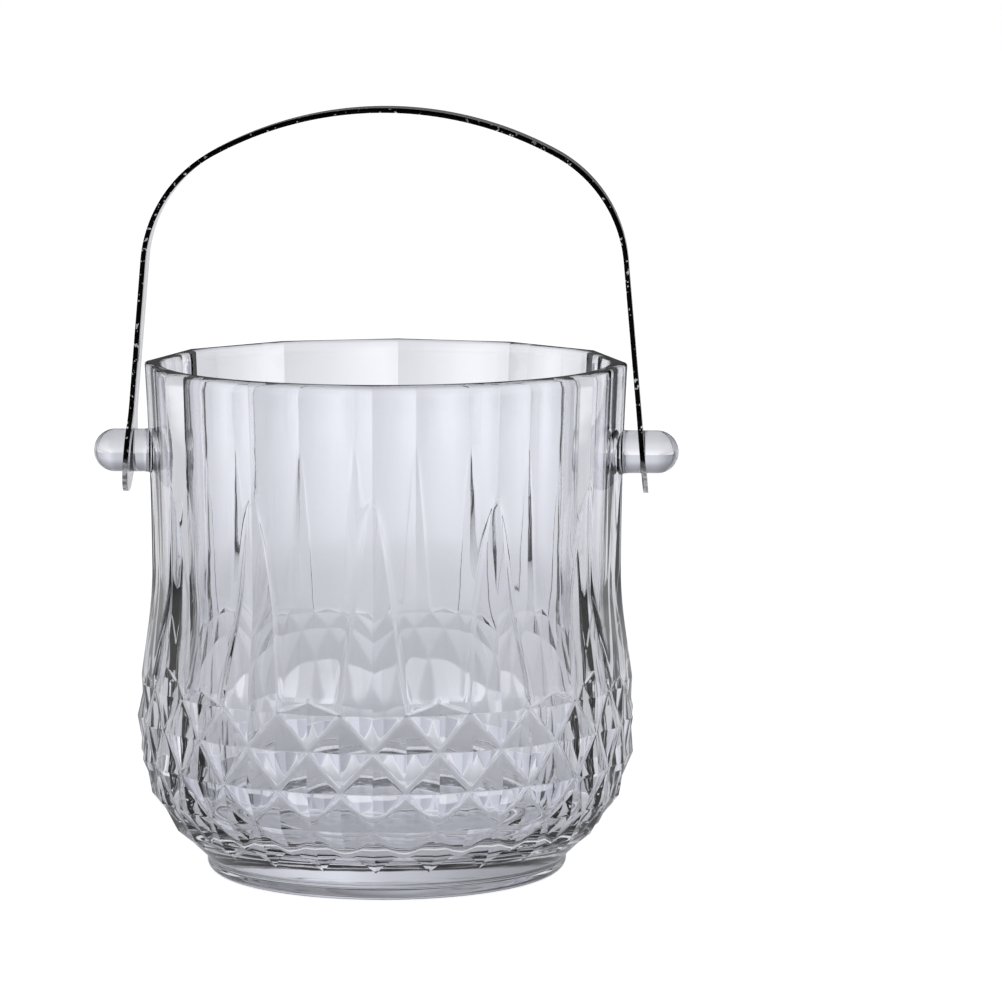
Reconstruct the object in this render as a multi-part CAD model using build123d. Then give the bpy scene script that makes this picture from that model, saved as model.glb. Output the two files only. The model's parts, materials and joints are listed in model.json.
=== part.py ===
"""Pressed glass ice bucket with a swinging steel bail.

Millimetres, +Z up. The origin is the middle of the foot's underside, and X runs through the two lugs.
"""

from build123d import *
import os
from math import asin, cos, radians, sin, sqrt, tan

# Glass, outline of the ridges and diamond points: the rim, the slightly narrower waist, the wider belly
body_height = 143.0
rim_radius = 67.5
waist_inset = 1.7
waist_height = 84.0
belly_bulge = 2.5
belly_height = 41.0

# Glass, underside of the belly: a quarter ellipse that would end flat at this height, this far in
underside_inset = 26.6
underside_bottom = 5.0

# Glass, upper wall: flat panels, with a tall spear on each ridge between two panels
panel_count = 12
rim_bevel = 1.2
spear_tip_drop = 29.5
spear_taper = 0.85
spear_steps = 6
panel_foot_rise = 3.3
panel_foot_depth = 0.7

# Glass, rows of diamonds: the grooves between them cross at these heights
row_heights = [54.2, 44.2, 33.0, 22.1, 12.5]
diamond_depth = 1.4

# Glass, the smooth round inside: its wall is thinnest behind the middle of each panel
panel_wall = 2.8
inside_rim_flare = 0.8
inside_corner = 15.0
floor_height = 14.5

# Glass, the foot, and the collar that joins it to the belly: the last diamonds sink into the collar,
# and only their lower points stand out of it, as a ring of small teeth
foot_step = 4.1
foot_height = 4.6
foot_bead = 3.0
foot_land = 3.2
foot_recess = 2.4
collar_top_height = 14.2
collar_top_depth = 1.85
collar_knee_depth = 0.75
collar_tip_height = 8.4
collar_bury = 0.8
tooth_bury = 0.1

# Glass, the lugs that carry the bail
lug_drop = 25.2
lug_radius = 6.0
lug_past_eye = 10.1
lug_root_flare = 4.0

# Bail: a flat steel strip with a round eye at each end
strip_thickness = 1.4
strip_width = 12.0
bail_rise = 96.0
rim_clearance = 1.3
eye_clearance = 0.08
eye_ring_width = 5.4
eye_neck_fillet = 8.0
arm_lean = 5.0
crown_radius = 100.0
shoulder_radius = 37.5

# Sizes that follow from the ones above
waist_radius = rim_radius - waist_inset
belly_radius = rim_radius + belly_bulge
panel_angle = 360 / panel_count
row_angle = panel_angle / 4
panel_shrink = cos(radians(panel_angle / 2))
panel_foot_height = row_heights[0] + panel_foot_rise
spear_tip_height = body_height - spear_tip_drop
spear_length = spear_tip_height - row_heights[0]
lug_height = body_height - lug_drop
eye_hole_radius = lug_radius + eye_clearance
eye_radius = eye_hole_radius + eye_ring_width
eye_x = rim_radius + rim_clearance + strip_thickness / 2 + lug_drop * tan(radians(arm_lean))


def outer_radius(height):
    """Radius of the ridges and diamond points at a height: a slight flare up to the rim,
    a smooth wave from the waist down to the belly, and a quarter ellipse under it."""
    if height >= waist_height:
        rise = (height - waist_height) / (body_height - waist_height)
        return waist_radius + (rim_radius - waist_radius) * rise**2
    if height >= belly_height:
        fall = (waist_height - height) / (waist_height - belly_height)
        return waist_radius + (belly_radius - waist_radius) * fall**2 * (3 - 2 * fall)
    drop = (belly_height - height) / (belly_height - underside_bottom)
    return belly_radius - underside_inset * (1 - sqrt(1 - drop**2))


def polar(radius, turn, height):
    """The point at a radius, a turn about Z in degrees, and a height."""
    return Vector(radius * cos(radians(turn)), radius * sin(radians(turn)), height)


def rim_ring():
    """Top outline: the twelve-sided rim, drawn in by its bevel. Spear edges coincide with the ridges."""
    corner = rim_radius - rim_bevel
    ring = []
    for panel in range(panel_count):
        start = panel * panel_angle
        ridge = polar(corner, start, body_height)
        middle = polar(corner * panel_shrink, start + panel_angle / 2, body_height)
        next_ridge = polar(corner, start + panel_angle, body_height)
        ring += [ridge, ridge, middle, next_ridge]
    return ring


def wall_ring(height):
    """For each panel at one height: the ridge, a spear's edge, the panel's middle, the next spear's edge."""
    share = max(0.0, (spear_tip_height - height) / spear_length)
    width = row_angle * share**spear_taper
    ridge = outer_radius(height)
    flat = ridge * panel_shrink
    chord = flat / cos(radians(panel_angle / 2 - width))
    edge = chord + (ridge - diamond_depth - chord) * share
    near_foot = max(0.0, (waist_height - height) / (waist_height - row_heights[0]))
    level = height + panel_foot_rise * near_foot**4
    panel_foot_radius = outer_radius(panel_foot_height) - panel_foot_depth
    middle = flat + (panel_foot_radius - flat) * near_foot**1.5
    ring = []
    for panel in range(panel_count):
        start = panel * panel_angle
        ring.append(polar(ridge, start, height))
        ring.append(polar(edge, start + width, height))
        ring.append(polar(middle, start + panel_angle / 2, level))
        ring.append(polar(edge, start + panel_angle - width, height))
    return ring


def diamond_ring(row):
    """One row: points of the diamonds, and groove crossings between them, which swap places row by row."""
    height = row_heights[row]
    peak = outer_radius(height)
    radii = [peak, peak - diamond_depth] if row % 2 == 0 else [peak - diamond_depth, peak]
    return [polar(radii[i % 2], i * row_angle, height) for i in range(4 * panel_count)]


def tooth_ring():
    """The lower points of the last row, just under the skin of the collar."""
    radius = outer_radius(collar_tip_height) - tooth_bury
    return [polar(radius, i * row_angle, collar_tip_height) for i in range(4 * panel_count)]


def facets(upper, lower, groove_side):
    """Two flat triangles in each cell between two rings, split along the groove that crosses the cell."""
    faces = []
    count = len(upper)
    for i in range(count):
        j = (i + 1) % count
        if i % 2 == groove_side:
            cell = [(upper[i], lower[i], lower[j]), (upper[i], lower[j], upper[j])]
        else:
            cell = [(upper[i], lower[i], upper[j]), (lower[i], lower[j], upper[j])]
        for a, b, c in cell:
            if min((a - b).length, (b - c).length, (c - a).length) > 1e-6:
                faces.append(Face(Wire.make_polygon([a, b, c])))
    return faces


def pressed_shape():
    """The outside of the glass as one closed shell of flat facets, down to the last row of diamonds."""
    steps = [spear_tip_height - spear_length * i / spear_steps for i in range(spear_steps + 1)]
    rings = [rim_ring()] + [wall_ring(height) for height in [body_height - rim_bevel] + steps]
    faces = []
    for upper, lower in zip(rings, rings[1:]):
        faces += facets(upper, lower, 1)
    rows = [rings[-1]] + [diamond_ring(row) for row in range(len(row_heights))] + [tooth_ring()]
    for row, (upper, lower) in enumerate(zip(rows, rows[1:])):
        faces += facets(upper, lower, 1 if row == 0 else row % 2)
    top = [p for i, p in enumerate(rings[0]) if i % 4 in (0, 2)]
    faces.append(Face(Wire.make_polygon(top)))
    faces.append(Face(Wire.make_polygon(rows[-1])))
    return Solid(Shell(faces))


def inside_shape():
    """The smooth hollow: a tapered round wall, a rounded corner, a flat floor and a softly flared mouth."""
    rim_inside = rim_radius * panel_shrink - panel_wall
    waist_inside = waist_radius * panel_shrink - panel_wall
    draft = (rim_inside - waist_inside) / (body_height - waist_height)
    floor_inside = waist_inside - draft * (waist_height - floor_height)
    above = body_height + inside_rim_flare
    with BuildPart() as hollow:
        with BuildSketch(Plane.XZ):
            with BuildLine():
                Polyline(
                    (0, floor_height),
                    (floor_inside, floor_height),
                    (rim_inside, body_height - 2 * inside_rim_flare),
                    (rim_inside + inside_rim_flare, body_height),
                    (rim_inside + inside_rim_flare, above),
                    (0, above),
                    close=True,
                )
            make_face()
        revolve(axis=Axis.Z)
        corner = hollow.edges().filter_by(GeomType.CIRCLE).sort_by(Axis.Z)[0]
        fillet(corner, inside_corner)
    return hollow.part


def foot_shape():
    """The foot, solid but for a shallow recess underneath, and the collar that runs up under the belly."""
    tip = outer_radius(collar_tip_height)
    knee = outer_radius(row_heights[-1]) - collar_knee_depth
    top = outer_radius(collar_top_height) - collar_top_depth
    foot_radius = tip - foot_step
    land_outside = foot_radius - foot_bead
    land_inside = land_outside - foot_land
    collar_end = collar_top_height + collar_bury
    with BuildPart() as foot:
        with BuildSketch(Plane.XZ):
            with BuildLine():
                Polyline(
                    (foot_radius, foot_bead),
                    (foot_radius, foot_height),
                    (tip, collar_tip_height),
                    (knee, row_heights[-1]),
                    (top, collar_top_height),
                    (top - collar_bury, collar_end),
                    (0, collar_end),
                    (0, foot_recess),
                    (land_inside - foot_recess, foot_recess),
                    (land_inside, 0),
                    (land_outside, 0),
                )
                RadiusArc((land_outside, 0), (foot_radius, foot_bead), -foot_bead)
            make_face()
        revolve(axis=Axis.Z)
    return foot.part


def lug_shape():
    """The lug on the +X side: a round stem with a domed end, flared where it grows out of the wall."""
    flare_radius = lug_radius + lug_root_flare
    flare_start = outer_radius(lug_height) - flare_radius * tan(radians(panel_angle / 2))
    stem_start = flare_start + lug_root_flare
    tip = eye_x + lug_past_eye
    axis_plane = Plane((0, 0, lug_height), x_dir=(1, 0, 0), z_dir=(0, -1, 0))
    with BuildPart() as lug:
        with BuildSketch(axis_plane):
            with BuildLine():
                Polyline((tip, 0), (flare_start, 0), (flare_start, flare_radius))
                RadiusArc((flare_start, flare_radius), (stem_start, lug_radius), -lug_root_flare)
                Line((stem_start, lug_radius), (tip - lug_radius, lug_radius))
                RadiusArc((tip - lug_radius, lug_radius), (tip, 0), lug_radius)
            make_face()
        revolve(axis=Axis((0, 0, lug_height), (1, 0, 0)))
    return lug.part


def strip_sheet():
    """The strip seen from the front: leaning arms, shoulder arcs and a flat crown arc, each tangent to the
    next. The crown and a shoulder meet where the shoulder's circle also touches the arm's line."""
    lean = radians(arm_lean)
    crown_centre = lug_height + bail_rise - strip_thickness / 2 - crown_radius
    reach = crown_radius - shoulder_radius
    across = eye_x * cos(lean) + (lug_height - crown_centre) * sin(lean) - shoulder_radius
    turn = asin(across / reach) - lean
    crown_end = (crown_radius * sin(turn), crown_centre + crown_radius * cos(turn))
    arm_top_x = reach * sin(turn) + shoulder_radius * cos(lean)
    arm_top_z = crown_centre + reach * cos(turn) + shoulder_radius * sin(lean)
    arm_top = (arm_top_x, arm_top_z)
    arm_foot = (eye_x + 2 * eye_radius * sin(lean), lug_height - 2 * eye_radius * cos(lean))
    with BuildSketch(Plane.XZ) as sheet:
        with BuildLine():
            Line(arm_foot, arm_top)
            RadiusArc(arm_top, crown_end, -shoulder_radius)
            ThreePointArc(crown_end, (0, crown_centre + crown_radius), (-crown_end[0], crown_end[1]))
            RadiusArc((-crown_end[0], crown_end[1]), (-arm_top[0], arm_top[1]), -shoulder_radius)
            Line((-arm_top[0], arm_top[1]), (-arm_foot[0], arm_foot[1]))
        trace(line_width=strip_thickness)
    return sheet.sketch


def side_outline():
    """The bail seen from the side: a straight band with a round eye on its end and a filleted neck."""
    band_height = bail_rise + strip_thickness
    with BuildSketch(Plane.YZ) as outline:
        with Locations((0, lug_height)):
            Circle(eye_radius)
        with Locations((0, lug_height + band_height / 2)):
            Rectangle(strip_width, band_height)
        neck = outline.vertices().filter_by_position(Axis.Z, lug_height, lug_height + eye_radius)
        fillet(neck, eye_neck_fillet)
        with Locations((0, lug_height)):
            Circle(eye_hole_radius, mode=Mode.SUBTRACT)
    return outline.sketch


def bail_shape():
    """The strip, as wide as its side outline allows. The eye holes run straight along X, as the lugs do."""
    strip = extrude(strip_sheet(), amount=eye_radius, both=True)
    width = extrude(side_outline(), amount=eye_x + eye_radius, both=True)
    return strip & width


lug = lug_shape()
glass = pressed_shape() + foot_shape() + lug + lug.mirror(Plane.YZ) - inside_shape()
bail = bail_shape()

os.makedirs("parts", exist_ok=True)
export_step(glass, "parts/glass_bucket.step")
export_step(bail, "parts/bail_handle.step")
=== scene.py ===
import bmesh
import bpy
import json
import numpy as np
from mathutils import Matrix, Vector


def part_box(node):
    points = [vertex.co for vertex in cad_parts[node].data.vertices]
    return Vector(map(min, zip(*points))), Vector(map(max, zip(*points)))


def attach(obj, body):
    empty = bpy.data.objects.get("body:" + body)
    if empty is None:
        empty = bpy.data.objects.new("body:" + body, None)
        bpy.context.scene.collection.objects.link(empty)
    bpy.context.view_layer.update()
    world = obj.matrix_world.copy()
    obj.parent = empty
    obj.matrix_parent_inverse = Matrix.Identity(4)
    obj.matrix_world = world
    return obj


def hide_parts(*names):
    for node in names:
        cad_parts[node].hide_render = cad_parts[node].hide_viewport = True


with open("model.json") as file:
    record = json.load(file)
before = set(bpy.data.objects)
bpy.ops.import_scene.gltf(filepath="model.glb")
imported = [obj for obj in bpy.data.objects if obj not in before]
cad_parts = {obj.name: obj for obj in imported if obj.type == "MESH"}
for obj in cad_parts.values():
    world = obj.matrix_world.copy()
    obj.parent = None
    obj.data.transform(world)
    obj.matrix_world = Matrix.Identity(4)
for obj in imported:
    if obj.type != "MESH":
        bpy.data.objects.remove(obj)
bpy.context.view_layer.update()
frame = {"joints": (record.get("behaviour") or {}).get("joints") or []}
pivot_height = frame["joints"][0]["pos_m"][2]
mm = 0.001

# GLASS BUCKET
# One piece of clear glass, pressed in a mould that cuts the diamonds, spears and flat panels into the outside
# while a smooth plunger forms the inside. The rim is fire polished, so every edge is a little soft.

body_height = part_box("glass_bucket")[1][2]
rim_radius, waist_radius, belly_radius = 67.5 * mm, 65.8 * mm, 70.0 * mm
waist_height, belly_height = 84.0 * mm, 41.0 * mm
underside_inset, underside_bottom = 26.6 * mm, 5.0 * mm
spear_tip, spear_taper = 113.5 * mm, 0.85
edge_groove, edge_lip = 0.85 * mm, 1.6 * mm
panel_foot, panel_foot_depth = 57.5 * mm, 0.7 * mm
rows = np.array([54.2, 44.2, 33.0, 22.1, 12.5, 8.4]) * mm
diamond_depth, groove_floor, tooth_bury = 1.4 * mm, 0.09 * mm, 0.1 * mm
rim_edge, lip_edge, panel_wall = 1.2 * mm, 0.8 * mm, 2.8 * mm
floor_height, corner_radius = 14.5 * mm, 15.0 * mm
lug_radius, lug_flare = 6.0 * mm, 4.0 * mm

# Steps from a diamond's point to its groove, and along a groove: finer at both ends, which keeps edges crisp.
to_groove = np.array([0, 0.03, 0.08, 0.16, 0.28, 0.42, 0.58, 0.72, 0.84, 0.92, 0.97, 1.0])
along_groove = np.array([0, 0.04, 0.12, 0.28, 0.5, 0.72, 0.88, 0.96, 1.0])
groove_fill = np.interp(to_groove, [0.92, 0.97, 1.0], [0, 0.55, 1.0]) * groove_floor


def mesh_object(name, grids):
    """One closed mesh from grids of points, each grid an array of patches by rows by columns by xyz. Every four
    neighbours make a face, points that meet are joined, faces squeezed to nothing go, and normals turn outwards."""
    points, faces, start = [], [], 0
    for grid in grids:
        index = start + np.arange(grid[..., 0].size).reshape(grid.shape[:-1])
        corners = (index[:, :-1, :-1], index[:, :-1, 1:], index[:, 1:, 1:], index[:, 1:, :-1])
        faces.append(np.stack(corners, -1).reshape(-1, 4))
        points.append(grid.reshape(-1, 3))
        start += index.size
    mesh = bpy.data.meshes.new(name)
    mesh.from_pydata(np.concatenate(points).tolist(), [], np.concatenate(faces).tolist())
    work = bmesh.new()
    work.from_mesh(mesh)
    bmesh.ops.remove_doubles(work, verts=work.verts, dist=2e-6)
    bmesh.ops.recalc_face_normals(work, faces=work.faces)
    work.to_mesh(mesh)
    work.free()
    mesh.shade_smooth()
    obj = bpy.data.objects.new(name, mesh)
    bpy.context.scene.collection.objects.link(obj)
    return obj


def combine(obj, tool, operation):
    """Adds a second closed mesh to the first, or cuts the first with it, and uses the second up."""
    step = obj.modifiers.new("combine", "BOOLEAN")
    step.operation, step.solver, step.object = operation, "MANIFOLD", tool
    joined = bpy.data.meshes.new_from_object(obj.evaluated_get(bpy.context.evaluated_depsgraph_get()))
    obj.modifiers.clear()
    obj.data = joined
    bpy.data.objects.remove(tool)


def mark_faces(obj, number):
    """Marks every face of a mesh with a number that stays with it when meshes are combined."""
    mark = obj.data.attributes.new("part", "INT", "FACE")
    mark.data.foreach_set("value", np.full(len(obj.data.polygons), number, dtype=np.int32))


def turned(section, columns, axis="Z"):
    """Grid of a section, points of radius and height, turned about Z, or about X with the height along X."""
    around = np.linspace(0, 2 * np.pi, columns + 1)
    radius, height = np.array(section).T[:, :, None]
    across, up = radius * np.cos(around), radius * np.sin(around)
    along = height + 0 * around
    return np.stack([across, up, along] if axis == "Z" else [along, across, up], -1)[None]


def arc(centre_r, centre_z, radius, start, end, steps):
    """Points (radius, height) on an arc of a section, between two angles in degrees."""
    a = np.radians(np.linspace(start, end, steps + 1))
    return list(zip(centre_r + radius * np.cos(a), centre_z + radius * np.sin(a)))


def line(a, b, steps):
    """Points between two points of a section, without the first."""
    return [tuple(p) for p in np.linspace(a, b, steps + 1)[1:]]


def ridge_radius(z):
    """Outline of the ridges and diamond points: a slight square-law flare from waist to rim, a smoothstep
    wave from waist to belly, and a quarter ellipse under the belly."""
    rise = np.clip((z - waist_height) / (body_height - waist_height), 0, 1)
    fall = np.clip((waist_height - z) / (waist_height - belly_height), 0, 1)
    drop = np.clip((belly_height - z) / (belly_height - underside_bottom), 0, 1)
    above = waist_radius + (rim_radius - waist_radius) * rise**2
    wave = (belly_radius - waist_radius) * fall**2 * (3 - 2 * fall)
    return above + wave - underside_inset * (1 - np.sqrt(1 - drop**2))


def polar(radius, turn, z):
    """Points from radius, turn in degrees and height."""
    radius, turn, z = np.broadcast_arrays(radius, np.radians(turn), z)
    return np.stack([radius * np.cos(turn), radius * np.sin(turn), z], -1)


def spear_half_width(z):
    """Half the angle of a spear, in degrees: 0 at its tip, 7.5 at the first row of diamonds."""
    return 7.5 * np.clip((spear_tip - z) / (spear_tip - rows[0]), 0, 1) ** spear_taper


def panel_radius(turn, z):
    """Radius of the flat panel at an angle from the nearest ridge. It flares and rounds out at its foot."""
    near = np.clip((waist_height - z) / (waist_height - panel_foot), 0, 1) ** 1.5
    flat = ridge_radius(z) * np.cos(np.radians(15))
    middle = flat + (ridge_radius(panel_foot) - panel_foot_depth - flat) * near
    return middle * (1 + (1 / np.cos(np.radians(15 - turn)) - 1) * (1 - 0.8 * near))


def edge_drop(z):
    """Depth of the fine groove along a spear's edge: none at the tip, most of it soon below."""
    share = np.clip((spear_tip - z) / (spear_tip - rows[0]), 0, 1)
    return edge_groove * (1 - (1 - share) ** 4)


def edge_radius(z):
    """Radius of a spear's edge, led into the first groove crossing over the last few millimetres."""
    plain = panel_radius(spear_half_width(z), z) - edge_drop(z)
    last = panel_radius(7.5, rows[0]) - edge_groove
    lead = np.clip((panel_foot - z) / (panel_foot - rows[0]), 0, 1)
    return plain + lead * (ridge_radius(rows[0]) - diamond_depth - last)


def half_sector(z):
    """The ring at one height from a ridge to the next panel's middle: the spear's flat half, straight from
    ridge to edge, then the panel, dipping in a small lip to the edge. Above the tips all of it is panel."""
    width = spear_half_width(z)
    spread = np.clip((z - spear_tip) / (body_height - spear_tip), 0, 1)
    first = max(width, 0.5 + 7.0 * spread)
    turn = np.concatenate([first * to_groove[:-1], first + (15 - first) * to_groove])
    lip = np.clip(1 - np.radians(turn - width) * ridge_radius(z) / edge_lip, 0, 1) ** 2
    ring = polar(panel_radius(turn, z) - edge_drop(z) * lip, turn, z)
    if width >= 0.5:
        ridge, edge = polar(ridge_radius(z), 0, z), polar(edge_radius(z), width, z)
        ring[: len(to_groove)] = ridge + to_groove[:, None] * (edge - ridge)
    return ring


def foot_band():
    """Rings where each panel ends on a blunt diamond. Under the diagonal that climbs from the spear's edge to
    the panel's middle lies the diamond's flat facet, above it the panel."""
    node = polar(ridge_radius(rows[0]) - diamond_depth, 7.5, rows[0])
    point = polar(ridge_radius(rows[0]), 15, rows[0])
    top = polar(ridge_radius(panel_foot) - panel_foot_depth, 15, panel_foot)
    rings = np.stack([half_sector(panel_foot + (rows[0] - panel_foot) * v) for v in to_groove])
    first = len(to_groove) - 1
    v, u = to_groove[:, None, None], to_groove[None, :, None]
    facet = node * (1 - u) + point * (u + v - 1) + top * (1 - v)
    rings[:, first:] = np.where(u + v > 1 - 1e-9, facet, rings[:, first:])
    fill = np.concatenate([groove_fill[:-1], groove_fill[::-1]])
    rings[-1, :, :2] *= (1 + fill / np.hypot(rings[-1, :, 0], rings[-1, :, 1]))[:, None]
    return rings


def all_round(half):
    """Full rings from half sectors: mirrored at the panel's middle, then repeated twelve times."""
    c, s = np.cos(np.radians(30)), np.sin(np.radians(30))
    mirror = half @ np.array([[c, s, 0], [s, -c, 0], [0, 0, 1]])
    sector = np.concatenate([half, mirror[:, -2:0:-1]], 1)
    angle = np.radians(30 * np.arange(12))
    turn = np.zeros((12, 3, 3))
    turn[:, 0, 0] = turn[:, 1, 1] = np.cos(angle)
    turn[:, 1, 0] = np.sin(angle)
    turn[:, 0, 1] = -turn[:, 1, 0]
    turn[:, 2, 2] = 1
    ring = np.einsum("kab,rcb->rkca", turn, sector).reshape(len(half), -1, 3)
    return np.concatenate([ring, ring[:, :1]], 1)


def diamond_facets(k, other):
    """The flat facets of one row's diamonds that face the row above or below. A facet runs from the point out
    to the groove, whose floor is filled by a hair as the mould's cut is never quite sharp."""
    turn = 15.0 * np.arange(24) + (0 if k % 2 == 0 else 7.5)
    point_drop = np.array([0, 0, 0, 0, 0, tooth_bury])
    node_drop = np.array([diamond_depth] * 5 + [tooth_bury])
    point = polar(ridge_radius(rows[k]) - point_drop[k], turn, rows[k])[:, None, None]
    far = polar(ridge_radius(rows[other]) - node_drop[other], turn, rows[other])[:, None, None]
    t, s = to_groove[:, None, None], along_groove[None, :, None]
    halves = []
    for side in (-7.5, 7.5):
        node = polar(ridge_radius(rows[k]) - node_drop[k], turn + side, rows[k])[:, None, None]
        halves.append(point + t * ((1 - s) * node + s * far - point))
    grid = np.concatenate(halves)
    radius = np.hypot(grid[..., 0], grid[..., 1])
    sunk = np.clip((grid[..., 2] - rows[5]) / (rows[4] - rows[5]), 0, 1)
    grid[..., :2] *= (1 + groove_fill[:, None] * sunk / radius)[..., None]
    return grid


net = [diamond_facets(k, k - 1) for k in range(1, 6)] + [diamond_facets(k, k + 1) for k in range(5)]

# The cells of the foot band are split in two along the blunt diamonds' crease.
band = all_round(foot_band())
upper_left, upper_right, lower_left, lower_right = band[:-1, :-1], band[:-1, 1:], band[1:, :-1], band[1:, 1:]
falls = ((np.arange(band.shape[1] - 1) // (len(to_groove) - 1)) % 4 >= 2)[None, :, None]
end, start = np.where(falls, lower_right, lower_left), np.where(falls, upper_left, upper_right)
band_grids = [np.stack([upper_left, upper_right, end, end], -2).reshape(-1, 2, 2, 3),
              np.stack([start, lower_right, lower_left, lower_left], -2).reshape(-1, 2, 2, 3)]

wall = all_round(np.stack([half_sector(z) for z in np.linspace(panel_foot, body_height - rim_edge, 42)]))
outside = np.hypot(wall[-1, :, 0], wall[-1, :, 1])
direction = wall[-1, :, :2] / outside[:, None]
rim = [wall[-1]]
for a in np.radians([18, 36, 54, 72, 90]):
    drawn_in = direction * (outside - rim_edge * (1 - np.cos(a)))[:, None]
    rim.append(np.insert(drawn_in, 2, body_height - rim_edge * (1 - np.sin(a)), axis=1))
rim_inside = rim_radius * np.cos(np.radians(15)) - panel_wall
waist_inside = waist_radius * np.cos(np.radians(15)) - panel_wall
draft = (rim_inside - waist_inside) / (body_height - waist_height)
inside = arc(rim_inside + lip_edge, body_height - lip_edge, lip_edge, 90, 180, 5)
every_other = direction[:-1:2].repeat(2, 0)
every_other = np.concatenate([every_other, every_other[:1]])
rim.append(np.insert(every_other * inside[0][0], 2, body_height, axis=1))
inside += [(waist_inside + draft * (z - waist_height), z)
           for z in np.linspace(body_height - 4 * mm, floor_height + corner_radius, 16)]
inside += arc(inside[-1][0] - corner_radius, inside[-1][1], corner_radius, -7, -90, 12)
inside = np.array(inside + [(30 * mm, floor_height), (12 * mm, floor_height), (0, floor_height)])
coarse = np.concatenate([direction[:-1:2], direction[:1]])
inside_grid = np.stack([coarse[None, :, 0] * inside[:, :1], coarse[None, :, 1] * inside[:, :1],
                        np.repeat(inside[:, 1:], len(coarse), 1)], -1)

teeth = polar(ridge_radius(rows[5]) - tooth_bury, 7.5 * np.arange(49), rows[5])
chords = teeth[:-1, None] + to_groove[None, :-1, None] * (teeth[1:] - teeth[:-1])[:, None]
chords = np.concatenate([chords.reshape(-1, 3), teeth[:1]])
bottom = np.stack([chords, chords * [0, 0, 1]])

bucket = mesh_object("bucket_glass", net + band_grids + [wall[None], np.stack(rim)[None], inside_grid[None],
                                                         bottom[None]])
mark_faces(bucket, 0)

# The foot ring, its recess and the collar are one section turned about Z. It ends inside the glass.
collar_height, collar_inset, knee_inset = 14.2 * mm, 1.85 * mm, 0.75 * mm
foot_step, foot_bead, recess = 4.1 * mm, 3.0 * mm, 2.4 * mm
collar_tip, collar_knee = ridge_radius(rows[5]), ridge_radius(rows[4]) - knee_inset
collar_top = ridge_radius(collar_height) - collar_inset
foot_radius = collar_tip - foot_step
land = foot_radius - foot_bead
section = [(0, recess), (20 * mm, recess), (land - 5.9 * mm, recess), (land - 5.3 * mm, 2.1 * mm)]
section += [(land - 3.4 * mm, 0.2 * mm), (land - 3.0 * mm, 0.0), (land - 0.5 * mm, 0.0)]
section += arc(land, foot_bead, foot_bead, -82, 0, 10)
section += [(foot_radius, 4.2 * mm), (foot_radius + 0.2 * mm, 4.7 * mm)]
section += line(section[-1], (collar_tip, rows[5]), 5) + line((collar_tip, rows[5]), (collar_knee, rows[4]), 8)
section += line((collar_knee, rows[4]), (collar_top, collar_height), 3)
section += [(collar_top - 0.8 * mm, 15.0 * mm), (57 * mm, 13.5 * mm), (30 * mm, 12 * mm), (0, 12 * mm)]
foot = mesh_object("foot", [turned(section, 264)])
mark_faces(foot, 1)
combine(bucket, foot, "UNION")

# A lug is a flared root, a straight stem and a domed end, turned about the pivot line.
flare_start = ridge_radius(pivot_height) - (lug_radius + lug_flare) * np.tan(np.radians(15))
lug_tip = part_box("glass_bucket")[1][0]
section = [(0, flare_start - 1 * mm), (lug_radius + lug_flare, flare_start - 1 * mm)]
section += [(lug_radius + lug_flare * (1 - np.sin(a)), flare_start + lug_flare * (1 - np.cos(a)))
            for a in np.radians(np.linspace(0, 90, 11))]
section += line(section[-1], (lug_radius, lug_tip - lug_radius), 7)
section += [(lug_radius * np.cos(a), lug_tip - lug_radius * (1 - np.sin(a)))
            for a in np.radians(np.linspace(5, 90, 18))]
lug_grid = turned(section, 72, axis="X") + [0, 0, pivot_height]
for side in (1, -1):
    lug = mesh_object("lug", [lug_grid * [side, 1, 1]])
    mark_faces(lug, 1)
    combine(bucket, lug, "UNION")

# The seams where foot and lugs grow out of the body keep a crisp line.
mesh = bucket.data
mesh.shade_smooth()
part_of = np.empty(len(mesh.polygons), dtype=np.int32)
mesh.attributes["part"].data.foreach_get("value", part_of)
sizes = np.empty(len(mesh.polygons), dtype=np.int32)
mesh.polygons.foreach_get("loop_total", sizes)
edge_of = np.empty(len(mesh.loops), dtype=np.int32)
mesh.loops.foreach_get("edge_index", edge_of)
count = np.bincount(edge_of, minlength=len(mesh.edges))
total = np.bincount(edge_of, weights=np.repeat(part_of, sizes), minlength=len(mesh.edges))
seam = (total > 0) & (total < count)
mesh.attributes.new("sharp_edge", "BOOLEAN", "EDGE").data.foreach_set("value", seam)

glass_tint, shadow_tint = (0.93, 0.936, 0.968, 1), (0.86, 0.86, 0.88, 1)
ripple_scale, ripple_strength, ripple_depth = 60.0, 0.25, 0.3 * mm
smear_scale, smoothest, dullest = 25.0, 0.015, 0.04

glass = bpy.data.materials.new("pressed_glass")
glass.use_nodes = True
nodes, links = glass.node_tree.nodes, glass.node_tree.links
nodes.clear()
out = nodes.new("ShaderNodeOutputMaterial")
coords = nodes.new("ShaderNodeTexCoord").outputs["Object"]
shader = nodes.new("ShaderNodeBsdfPrincipled")
shader.inputs["Base Color"].default_value = glass_tint
shader.inputs["Transmission Weight"].default_value = 1.0
shader.inputs["IOR"].default_value = 1.5
wave = nodes.new("ShaderNodeTexNoise")
wave.inputs["Scale"].default_value = ripple_scale
wave.inputs["Detail"].default_value = 2.0
links.new(coords, wave.inputs["Vector"])
bump = nodes.new("ShaderNodeBump")
bump.inputs["Strength"].default_value = ripple_strength
bump.inputs["Distance"].default_value = ripple_depth
links.new(wave.outputs["Fac"], bump.inputs["Height"])
links.new(bump.outputs["Normal"], shader.inputs["Normal"])
smear = nodes.new("ShaderNodeTexNoise")
smear.inputs["Scale"].default_value = smear_scale
smear.inputs["Detail"].default_value = 6.0
links.new(coords, smear.inputs["Vector"])
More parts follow.
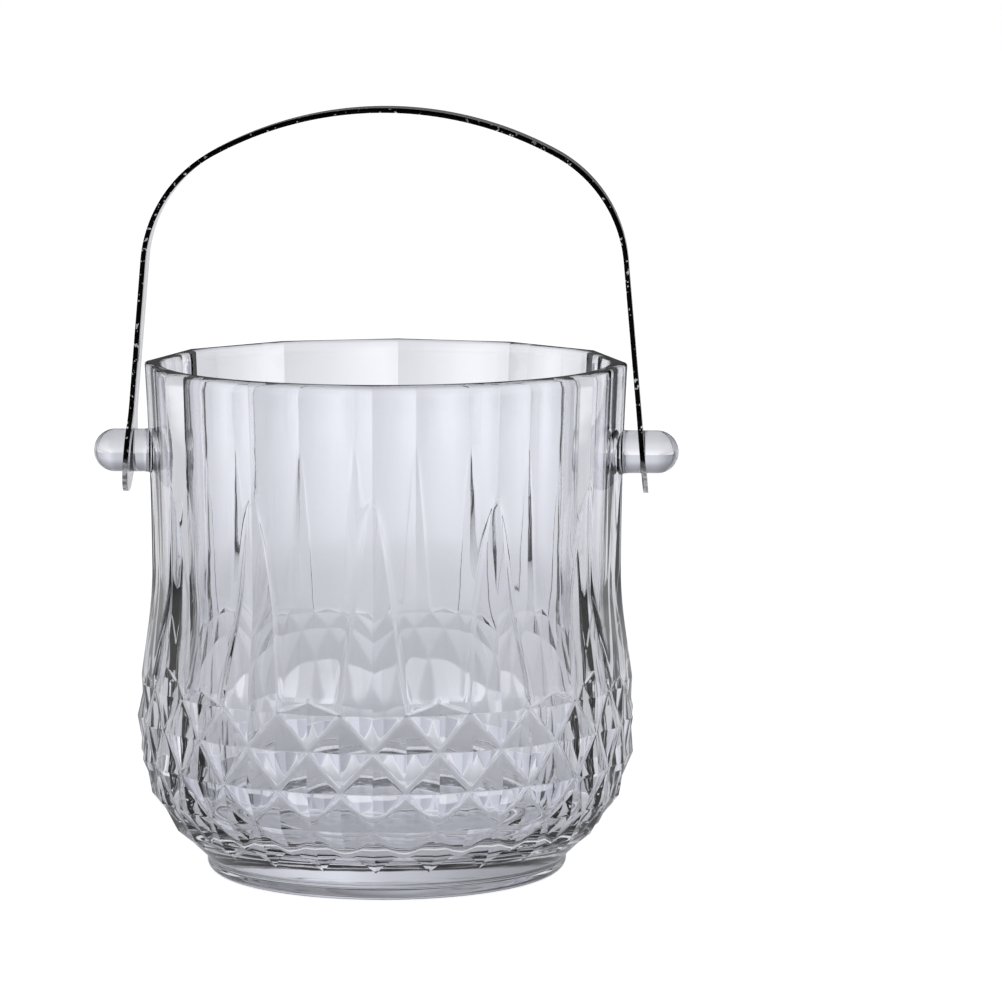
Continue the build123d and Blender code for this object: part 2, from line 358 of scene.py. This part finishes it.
rough = nodes.new("ShaderNodeMapRange")
rough.inputs["From Min"].default_value = 0.3
rough.inputs["From Max"].default_value = 0.8
rough.inputs["To Min"].default_value = smoothest
rough.inputs["To Max"].default_value = dullest
links.new(smear.outputs["Fac"], rough.inputs["Value"])
links.new(rough.outputs[0], shader.inputs["Roughness"])
clear = nodes.new("ShaderNodeBsdfTransparent")
clear.inputs["Color"].default_value = shadow_tint
light_path = nodes.new("ShaderNodeLightPath")
mix = nodes.new("ShaderNodeMixShader")
links.new(light_path.outputs["Is Shadow Ray"], mix.inputs[0])
links.new(shader.outputs[0], mix.inputs[1])
links.new(clear.outputs[0], mix.inputs[2])
links.new(mix.outputs[0], out.inputs["Surface"])
bucket.data.materials.clear()
bucket.data.materials.append(glass)
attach(bucket, "bucket")
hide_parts("glass_bucket")

# BAIL HANDLE
# A flat strip of stainless steel, bent into an arch, with a punched round eye at each end that is sprung over
# a glass lug. The broad faces are brushed and polished; the sheared edges are dark, with painted glints, and at
# the eyes they carry a painted highlight of lighter grey below each lug.

strip_thickness, strip_width = 1.4 * mm, 12.0 * mm
eye_hole, eye_radius, neck, past_eye = 6.08 * mm, 11.48 * mm, 8.0 * mm, 10.1 * mm
arm_lean, crown_radius, shoulder_radius = np.radians(5.0), 100.0 * mm, 37.5 * mm
eye_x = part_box("glass_bucket")[1][0] - past_eye
bail_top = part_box("bail_handle")[1][2]

crown_centre = bail_top - strip_thickness / 2 - crown_radius
reach = crown_radius - shoulder_radius
across = eye_x * np.cos(arm_lean) + (pivot_height - crown_centre) * np.sin(arm_lean) - shoulder_radius
turn = np.arcsin(across / reach) - arm_lean
crown = np.linspace(0, turn, 40)
shoulder = np.linspace(turn, np.pi / 2 - arm_lean, 40)[1:]
arm = np.linspace(0, 1, 30)[1:]
tilt = np.concatenate([crown, shoulder, np.full(len(arm), shoulder[-1])])
x = np.concatenate([crown_radius * np.sin(crown), reach * np.sin(turn) + shoulder_radius * np.sin(shoulder)])
z = np.concatenate([crown_radius * np.cos(crown), reach * np.cos(turn) + shoulder_radius * np.cos(shoulder)])
low = 2 * eye_radius
x = np.concatenate([x, x[-1] + arm * (eye_x + low * np.sin(arm_lean) - x[-1])])
z = np.concatenate([z, z[-1] + arm * (pivot_height - crown_centre - low * np.cos(arm_lean) - z[-1])]) + crown_centre
x, z, tilt = np.concatenate([-x[:0:-1], x]), np.concatenate([z[:0:-1], z]), np.concatenate([-tilt[:0:-1], tilt])
wide = 1.2 * eye_radius
sheet = np.stack([np.stack([x + h * np.sin(tilt), y + 0 * x, z + h * np.cos(tilt)], -1)
                  for h, y in ((strip_thickness / 2, -wide), (strip_thickness / 2, wide),
                               (-strip_thickness / 2, wide), (-strip_thickness / 2, -wide),
                               (strip_thickness / 2, -wide))], 1)
ends = [np.stack([e[:2], e[3:1:-1]])[None] for e in (sheet[0], sheet[-1])]
bail = mesh_object("bail_strip", [sheet[None]] + ends)

neck_rise = np.sqrt((eye_radius + neck) ** 2 - (strip_width / 2 + neck) ** 2)
meet = np.arctan2(strip_width / 2 + neck, neck_rise)
a = np.linspace(np.pi, meet, 60)
b = np.linspace(meet + np.pi, 1.5 * np.pi, 16)[1:]
right = np.concatenate([
    np.stack([eye_radius * np.sin(a), eye_radius * np.cos(a)], 1),
    np.stack([strip_width / 2 + neck + neck * np.sin(b), neck_rise + neck * np.cos(b)], 1),
    [[strip_width / 2, 120 * mm], [0, 120 * mm]],
]) + [0, pivot_height]
outline = np.concatenate([right, right[-2::-1] * [-1, 1]])
prism = np.stack([np.insert(outline, 0, side * (eye_x + eye_radius), axis=1) for side in (-1, 1)])
half = len(right)
caps = [np.stack([p[:half], p[: half - 2 : -1]])[None] for p in prism]
combine(bail, mesh_object("outline", [prism[None]] + caps), "INTERSECT")
ends = [(0, -0.1), (eye_hole, -0.1), (eye_hole, 0.1), (0, 0.1)]
combine(bail, mesh_object("hole", [turned(ends, 96, axis="X") + [0, 0, pivot_height]]), "DIFFERENCE")
soften = bail.modifiers.new("soften", "BEVEL")
soften.width, soften.segments, soften.limit_method, soften.angle_limit = 0.18 * mm, 2, "ANGLE", 0.6
softened = bpy.data.meshes.new_from_object(bail.evaluated_get(bpy.context.evaluated_depsgraph_get()))
bail.modifiers.clear()
bail.data = softened
mesh = bail.data
mesh.shade_smooth()
mesh.set_sharp_from_angle(angle=0.6)
facing, centre = np.empty(3 * len(mesh.polygons)), np.empty(3 * len(mesh.polygons))
mesh.polygons.foreach_get("normal", facing)
mesh.polygons.foreach_get("center", centre)
facing, centre = np.abs(facing.reshape(-1, 3)), centre.reshape(-1, 3)
is_edge = np.where(centre[:, 2] < pivot_height + 15 * mm, facing[:, 0] < 0.7, facing[:, 1] > 0.45)
mesh.attributes.new("sheared", "FLOAT", "FACE").data.foreach_set("value", is_edge.astype(np.float32))

steel = bpy.data.materials.new("bail_steel")
steel.use_nodes = True
nodes, links = steel.node_tree.nodes, steel.node_tree.links
shader = nodes["Principled BSDF"]
shader.inputs["Metallic"].default_value = 1.0
coords = nodes.new("ShaderNodeTexCoord").outputs["Object"]


def grey(value):
    """A grey as a colour."""
    return (value, value, value * 1.02, 1)


def set_inputs(node, values):
    """Sets a node's inputs in order; each value may be a socket or a plain value. Returns its first output."""
    for socket, value in zip(node.inputs, values):
        if isinstance(value, bpy.types.NodeSocket):
            node.id_data.links.new(value, socket)
        else:
            socket.default_value = value
    return node.outputs[0]


def mixed(factor, first, second):
    """Two colours mixed by a factor."""
    return set_inputs(nodes.new("ShaderNodeMixRGB"), (factor, first, second))


def between(value, low, high, first=0.0, second=1.0):
    """A value mapped from one range to another, held at the ends."""
    return set_inputs(nodes.new("ShaderNodeMapRange"), (value, low, high, first, second))


def noise(scale, detail, stretch=(1, 1, 1)):
    """Noise on the object's coordinates, finer along the axes that are stretched."""
    mapping = nodes.new("ShaderNodeMapping")
    mapping.inputs["Scale"].default_value = stretch
    links.new(coords, mapping.inputs["Vector"])
    texture = nodes.new("ShaderNodeTexNoise")
    texture.inputs["Scale"].default_value = scale
    texture.inputs["Detail"].default_value = detail
    links.new(mapping.outputs[0], texture.inputs["Vector"])
    return texture.outputs["Fac"]


sheared = nodes.new("ShaderNodeAttribute")
sheared.attribute_name = "sheared"
split = nodes.new("ShaderNodeSeparateXYZ")
links.new(coords, split.inputs[0])
# Painted glints: sparse specks of light grey scattered over the near-black sheared edges.
dark_edge_with_painted_glints = mixed(between(noise(1100.0, 1.0), 0.66, 0.70), grey(0.004), grey(0.65))
# Painted highlight: below each lug the sheared edges of the eye are painted a mottled lighter grey.
painted_highlight_edge = mixed(between(noise(700.0, 2.0), 0.4, 0.6), grey(0.30), grey(0.75))
painted_highlight_mask = between(split.outputs["Z"], pivot_height - 5 * mm, pivot_height - 1 * mm, 1.0, 0.0)
brushed = noise(300.0, 3.0, (1, 14, 1))
face_colour = mixed(between(brushed, 0.3, 0.7), grey(0.50), grey(0.62))
colour = mixed(sheared.outputs["Fac"], face_colour, mixed(painted_highlight_mask, dark_edge_with_painted_glints, painted_highlight_edge))
links.new(colour, shader.inputs["Base Color"])
links.new(between(brushed, 0.3, 0.7, 0.16, 0.3), shader.inputs["Roughness"])
bail.data.materials.clear()
bail.data.materials.append(steel)
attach(bail, "bail")
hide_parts("bail_handle")

# STUDIO
# A plain white table in a white room, both plain white to the camera. The glass and the steel see them graded,
# brightest behind the bucket, dimmer close to it and at the sides, with two soft lamps in front. On the table
# the grading is a painted glow, with painted shade close to the bucket and in bands at the sides.

table_reach, graded_reach, painted_table_glow = 6.0, 1.2, 0.78
room_tint, lamp_strength = (0.94, 0.955, 1.03, 1), 0.6


def ramp(source, stops):
    """Brightness by a number from 0 to 1, through the stops given as place and grey."""
    node = nodes.new("ShaderNodeValToRGB")
    links.new(source, node.inputs[0])
    elements = node.color_ramp.elements
    while len(elements) < len(stops):
        elements.new(0.5)
    for element, (place, value) in zip(elements, stops):
        element.position = place
        element.color = (value, value, value, 1)
    return node.outputs[0]


def maths(kind, first, second=0.0):
    """A maths node on two sources or numbers."""
    node = nodes.new("ShaderNodeMath")
    node.operation = kind
    return set_inputs(node, (first, second))


corner = np.array([[-1, -1, 0], [1, -1, 0], [-1, 1, 0], [1, 1, 0]]) * table_reach
table = mesh_object("table", [corner.reshape(1, 2, 2, 3)])
paper = bpy.data.materials.new("paper")
paper.use_nodes = True
nodes, links = paper.node_tree.nodes, paper.node_tree.links
nodes.clear()
out = nodes.new("ShaderNodeOutputMaterial")
diffuse = nodes.new("ShaderNodeBsdfDiffuse")
diffuse.inputs["Color"].default_value = (0.9, 0.9, 0.9, 1)
glow = nodes.new("ShaderNodeEmission")
split = nodes.new("ShaderNodeSeparateXYZ")
position = nodes.new("ShaderNodeTexCoord").outputs["Object"]
links.new(position, split.inputs[0])
length = nodes.new("ShaderNodeVectorMath")
length.operation = "LENGTH"
links.new(position, length.inputs[0])
# Painted shade: the table's glow, as the glass and steel see it, dips in bands to either side.
strip = ramp(between(split.outputs["X"], -graded_reach, graded_reach),
             [(0.0, 0.95), (0.17, 0.55), (0.33, 0.58), (0.43, 0.76), (0.5, 0.94), (0.53, 0.97), (0.57, 0.88),
              (0.67, 0.67), (0.83, 0.55), (1.0, 0.95)])
# Painted shade: the glow dims towards the bucket and is darkest under it.
ring = ramp(maths("DIVIDE", length.outputs["Value"], graded_reach),
            [(0.0, 0.25), (0.1, 0.36), (0.3, 0.66), (0.6, 0.88), (1.0, 1.0)])
painted_glow_and_shade = maths("MULTIPLY", maths("MULTIPLY", strip, ring), painted_table_glow)
links.new(mixed(nodes.new("ShaderNodeLightPath").outputs["Is Camera Ray"], painted_glow_and_shade, (0.8, 0.8, 0.8, 1)),
          glow.inputs["Color"])
both = nodes.new("ShaderNodeAddShader")
links.new(diffuse.outputs[0], both.inputs[0])
links.new(glow.outputs[0], both.inputs[1])
links.new(both.outputs[0], out.inputs["Surface"])
table.data.materials.append(paper)

world = bpy.data.worlds.new("studio")
bpy.context.scene.world = world
world.use_nodes = True
nodes, links = world.node_tree.nodes, world.node_tree.links
nodes.clear()
out = nodes.new("ShaderNodeOutputWorld")
background = nodes.new("ShaderNodeBackground")
split = nodes.new("ShaderNodeSeparateXYZ")
direction = nodes.new("ShaderNodeTexCoord").outputs["Generated"]
links.new(direction, split.inputs[0])

by_height = ramp(maths("MAXIMUM", split.outputs["Z"]),
                 [(0.0, 1.0), (0.2, 1.0), (0.4, 0.75), (0.6, 0.62), (0.86, 0.6), (0.95, 1.0)])
depth = maths("ABSOLUTE", split.outputs["Y"])
by_side = ramp(depth, [(0.0, 0.4), (0.5, 0.45), (0.75, 0.52), (0.92, 0.62), (0.985, 0.75)])
by_turn = ramp(between(split.outputs["X"], -1.0, 1.0),
               [(0.0, 0.5), (0.35, 0.7), (0.47, 0.88), (0.55, 1.15), (1.0, 0.95)])
seen = maths("MULTIPLY", maths("MULTIPLY", by_height, by_side), by_turn)
through = mixed(seen, (0, 0, 0, 1), room_tint)
mirrored = ramp(depth, [(0.0, 1.1), (0.6, 0.9), (0.9, 0.3), (0.97, 0.1)])
lamps = 0.0
for towards in ((-0.62, -0.5, 0.6), (0.75, -0.3, 0.59)):
    near = nodes.new("ShaderNodeVectorMath")
    near.operation = "DOT_PRODUCT"
    links.new(direction, near.inputs[0])
    near.inputs[1].default_value = towards
    lamp = ramp(near.outputs["Value"], [(0.94, 0.0), (0.965, 1.0)])
    lamps = maths("ADD", lamps, maths("MULTIPLY", lamp, lamp_strength))
light_path = nodes.new("ShaderNodeLightPath")
mirror_ray = maths("MULTIPLY", light_path.outputs["Is Glossy Ray"], light_path.outputs["Is Reflection Ray"])
room = mixed(mirror_ray, through, maths("ADD", mirrored, lamps))
links.new(mixed(light_path.outputs["Is Camera Ray"], room, (1, 1, 1, 1)), background.inputs["Color"])
links.new(background.outputs[0], out.inputs["Surface"])

camera = bpy.data.objects.new("camera", bpy.data.cameras.new("camera"))
bpy.context.scene.collection.objects.link(camera)
camera.data.lens = 178.4
camera.data.clip_end = 50
camera.location = (0.0755, -1.3767, 0.2822)
aim = Vector((0.0322, 0, 0.1038))
camera.rotation_mode = "QUATERNION"
camera.rotation_quaternion = (aim - camera.location).to_track_quat("-Z", "Y")
bpy.context.scene.camera = camera
bpy.context.scene.view_settings.view_transform = "Standard"
